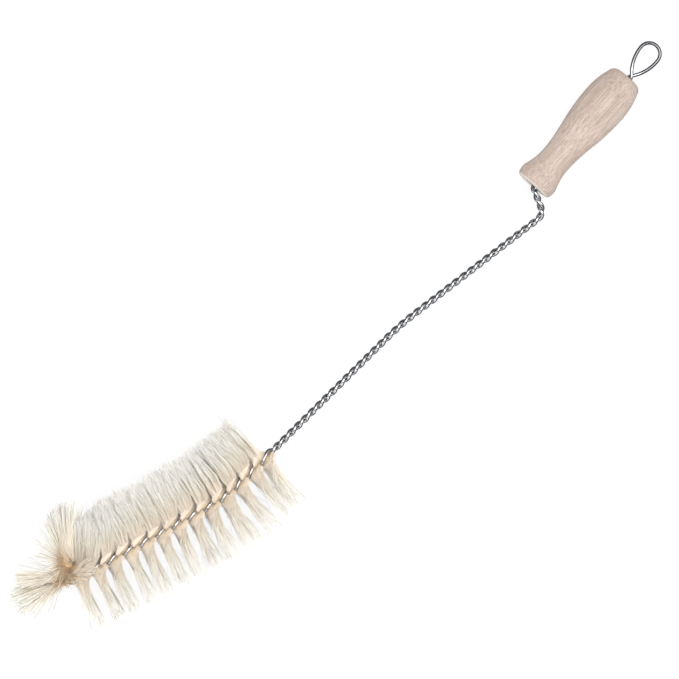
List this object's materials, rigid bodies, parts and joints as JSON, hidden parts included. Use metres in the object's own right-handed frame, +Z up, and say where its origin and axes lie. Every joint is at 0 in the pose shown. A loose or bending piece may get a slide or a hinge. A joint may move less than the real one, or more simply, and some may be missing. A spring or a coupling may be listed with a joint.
{
  "type": "bottle brush",
  "caption": "Long bottle brush lying flat: turned wooden handle, wire hanging loop, cranked twisted-wire stem, and a bent head of natural bristle with a hooked tip.",
  "frame": {"origin": "under the middle of the whole brush, on the surface it lies on", "axes": "+X from the bristle head to the handle, +Y across the brush towards the closed side of the bristles, +Z up from the surface"},
  "size_m": [0.7154, 0.1322, 0.093],
  "materials": {
    "wire": "galvanised steel wire, smooth, grey",
    "handle": "pale turned beech, smooth, unvarnished",
    "bristle": "loose natural bristle, cream, tan at the roots"
  },
  "bodies": {
    "root": {"twisted_wire": "wire", "handle": "handle", "bristle_bunch_01": "bristle", "bristle_bunch_02": "bristle", "bristle_bunch_03": "bristle", "bristle_bunch_04": "bristle", "bristle_bunch_05": "bristle", "bristle_bunch_06": "bristle", "bristle_bunch_07": "bristle", "bristle_bunch_08": "bristle", "bristle_bunch_09": "bristle", "bristle_bunch_10": "bristle", "bristle_bunch_11": "bristle", "bristle_bunch_12": "bristle", "bristle_bunch_13": "bristle", "tip_tuft_01": "bristle", "tip_tuft_02": "bristle"}
  },
  "joints": []
}
